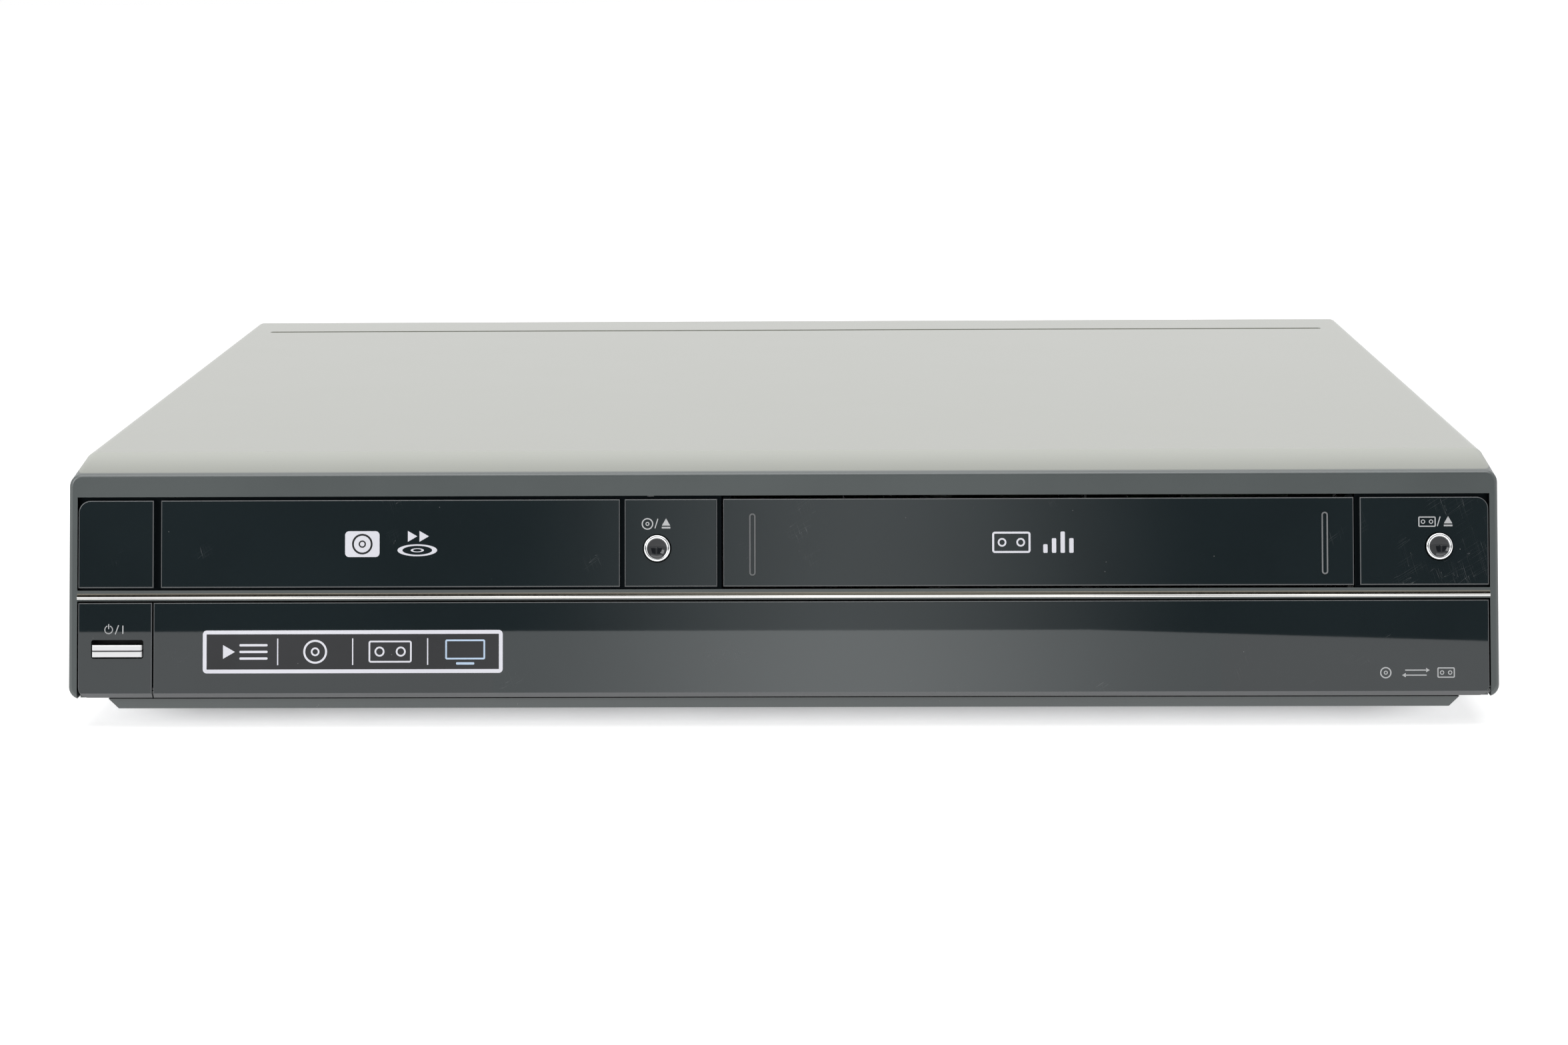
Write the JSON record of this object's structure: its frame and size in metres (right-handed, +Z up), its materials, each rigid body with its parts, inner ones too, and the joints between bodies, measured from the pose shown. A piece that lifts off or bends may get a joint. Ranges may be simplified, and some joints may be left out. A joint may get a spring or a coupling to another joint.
{
  "type": "disc and video cassette recorder",
  "caption": "Slim disc recorder with video cassette deck: leaning gloss front, sliding disc tray, cassette door, drop-down flap, steel cover.",
  "frame": {"origin": "on the table, under the middle of the case", "axes": "+X to the right along the front, +Y from front to back, +Z up"},
  "size_m": [0.43, 0.3538, 0.0785],
  "materials": {
    "cover_paint": "satin",
    "zinc_steel": "satin",
    "fascia_plastic": "satin",
    "gloss_black": "gloss",
    "chrome_trim": "polished",
    "silver_button": "satin",
    "black_plastic": "matt",
    "smoked_window": "gloss",
    "nylon": "satin",
    "rubber": "matt",
    "board": "satin",
    "aluminium": "machined",
    "steel": "polished",
    "jack_shell": "satin"
  },
  "bodies": {
    "case": {"bottom_chassis": "zinc_steel", "top_cover": "cover_paint", "rear_panel": "zinc_steel", "front_fascia": "fascia_plastic", "left_insert": "gloss_black", "dvd_button_insert": "gloss_black", "vcr_button_insert": "gloss_black", "chrome_strip": "chrome_trim", "control_subpanel": "black_plastic", "display_window": "smoked_window", "front_board": "board", "front_av_jacks": "jack_shell", "feet": "rubber", "cover_screws": "steel", "scart_sockets": "black_plastic", "rca_sockets": "jack_shell", "hdmi_socket": "steel", "tuner_module": "zinc_steel", "mains_inlet": "black_plastic", "fan_housing": "black_plastic", "power_board": "board", "power_transformer": "steel", "mains_capacitor": "black_plastic", "heat_sink": "aluminium", "main_board": "board", "loader_frame": "black_plastic", "clamp_bridge": "zinc_steel", "loading_motor": "steel", "spindle_motor": "steel", "traverse_frame": "black_plastic", "guide_rods": "steel", "drive_belt": "rubber", "deck_chassis": "zinc_steel", "lower_drum": "aluminium", "tape_guides": "steel", "tape_heads": "steel"},
    "tray": {"disc_tray": "black_plastic", "tray_front": "gloss_black"},
    "tray_wheel": {"drive_gear": "nylon"},
    "tray_pulley": {"pulley_gear": "nylon"},
    "tray_motor_pulley": {"motor_pulley": "nylon"},
    "turntable_hub": {"turntable": "black_plastic"},
    "pickup": {"pickup_sled": "aluminium"},
    "clamp_disc": {"clamper": "nylon"},
    "tape_door": {"cassette_door": "gloss_black"},
    "flap": {"front_flap": "gloss_black"},
    "power_key": {"power_button": "silver_button"},
    "disc_eject_key": {"dvd_eject_button": "chrome_trim"},
    "tape_eject_key": {"vcr_eject_button": "chrome_trim"},
    "stop_key": {"stop_button": "silver_button"},
    "play_key": {"play_button": "silver_button"},
    "record_key": {"record_button": "silver_button"},
    "head_drum": {"upper_drum": "aluminium"},
    "supply_table": {"supply_reel": "nylon"},
    "takeup_table": {"takeup_reel": "nylon"},
    "capstan_shaft": {"capstan": "steel"},
    "fan": {"fan_rotor": "black_plastic"},
    "pinch_lever": {"pinch_arm": "zinc_steel"},
    "pinch_wheel": {"pinch_roller": "rubber"},
    "holder": {"cassette_holder": "zinc_steel"}
  },
  "joints": [
    {"name": "tray_slide", "type": "slide", "parent": "case", "child": "tray", "axis": [0, -1, 0], "range_m": [0, 0.135]},
    {"name": "drive_gear_turn", "type": "hinge", "parent": "case", "child": "tray_wheel", "pos_m": [-0.164, -0.136, 0.045], "axis": [0, 0, 1], "continuous": true},
    {"name": "pulley_gear_turn", "type": "hinge", "parent": "case", "child": "tray_pulley", "pos_m": [-0.1471, -0.136, 0.045], "axis": [0, 0, 1], "continuous": true},
    {"name": "motor_pulley_turn", "type": "hinge", "parent": "case", "child": "tray_motor_pulley", "pos_m": [-0.112, -0.136, 0.046], "axis": [0, 0, 1], "continuous": true},
    {"name": "turntable_turn", "type": "hinge", "parent": "case", "child": "turntable_hub", "pos_m": [-0.1178, -0.085, 0.043], "axis": [0, 0, 1], "continuous": true},
    {"name": "pickup_slide", "type": "slide", "parent": "case", "child": "pickup", "axis": [0, 1, 0], "range_m": [0, 0.034]},
    {"name": "clamper_turn", "type": "hinge", "parent": "case", "child": "clamp_disc", "pos_m": [-0.1178, -0.085, 0.063], "axis": [0, 0, 1], "continuous": true},
    {"name": "cassette_door_swing", "type": "hinge", "parent": "case", "child": "tape_door", "pos_m": [0.0772, -0.15871, 0.07063], "axis": [1, 0, 0], "range_deg": [0, 75], "stiffness_Nm_per_rad": 0.004, "springref_deg": -28.65},
    {"name": "front_flap_swing", "type": "hinge", "parent": "case", "child": "flap", "pos_m": [0, -0.17461, 0.01131], "axis": [1, 0, 0], "range_deg": [0, 100]},
    {"name": "power_button_press", "type": "slide", "parent": "case", "child": "power_key", "axis": [0, 0.9753, -0.2209], "range_m": [0, 0.001], "stiffness_N_per_m": 400, "springref_m": -0.001},
    {"name": "dvd_eject_press", "type": "slide", "parent": "case", "child": "disc_eject_key", "axis": [0, 0.9753, -0.2209], "range_m": [0, 0.001], "stiffness_N_per_m": 400, "springref_m": -0.001},
    {"name": "vcr_eject_press", "type": "slide", "parent": "case", "child": "tape_eject_key", "axis": [0, 0.9753, -0.2209], "range_m": [0, 0.001], "stiffness_N_per_m": 400, "springref_m": -0.001},
    {"name": "stop_button_press", "type": "slide", "parent": "case", "child": "stop_key", "axis": [0, 0.9753, -0.2209], "range_m": [0, 0.0008], "stiffness_N_per_m": 400, "springref_m": -0.001},
    {"name": "play_button_press", "type": "slide", "parent": "case", "child": "play_key", "axis": [0, 0.9753, -0.2209], "range_m": [0, 0.0008], "stiffness_N_per_m": 400, "springref_m": -0.001},
    {"name": "record_button_press", "type": "slide", "parent": "case", "child": "record_key", "axis": [0, 0.9753, -0.2209], "range_m": [0, 0.0008], "stiffness_N_per_m": 400, "springref_m": -0.001},
    {"name": "head_drum_turn", "type": "hinge", "parent": "case", "child": "head_drum", "pos_m": [0.0772, 0.02192, 0.03809], "axis": [0, -0.104, 0.9946], "continuous": true},
    {"name": "supply_reel_turn", "type": "hinge", "parent": "case", "child": "supply_table", "pos_m": [0.0312, -0.0835, 0.022], "axis": [0, 0, 1], "continuous": true},
    {"name": "takeup_reel_turn", "type": "hinge", "parent": "case", "child": "takeup_table", "pos_m": [0.1232, -0.0835, 0.022], "axis": [0, 0, 1], "continuous": true},
    {"name": "capstan_turn", "type": "hinge", "parent": "case", "child": "capstan_shaft", "pos_m": [0.1142, -0.027, 0.02], "axis": [0, 0, 1], "continuous": true},
    {"name": "pinch_arm_swing", "type": "hinge", "parent": "case", "child": "pinch_lever", "pos_m": [0.1392, -0.004, 0.02], "axis": [0, 0, 1], "range_deg": [0, 26]},
    {"name": "pinch_roller_turn", "type": "hinge", "parent": "pinch_lever", "child": "pinch_wheel", "pos_m": [0.11044, -0.00551, 0.038], "axis": [0, 0, 1], "continuous": true},
    {"name": "cassette_holder_drop", "type": "slide", "parent": "case", "child": "holder", "axis": [0, 0, -1], "range_m": [0, 0.013]},
    {"name": "fan_turn", "type": "hinge", "parent": "case", "child": "fan", "pos_m": [-0.098, 0.162, 0.042], "axis": [0, 1, 0], "continuous": true}
  ],
  "couplings": [
    {"joint": "drive_gear_turn", "follows": "tray_slide", "rad_per_m": 125},
    {"joint": "pulley_gear_turn", "follows": "tray_slide", "rad_per_m": -400},
    {"joint": "motor_pulley_turn", "follows": "tray_slide", "rad_per_m": -1066.7}
  ]
}
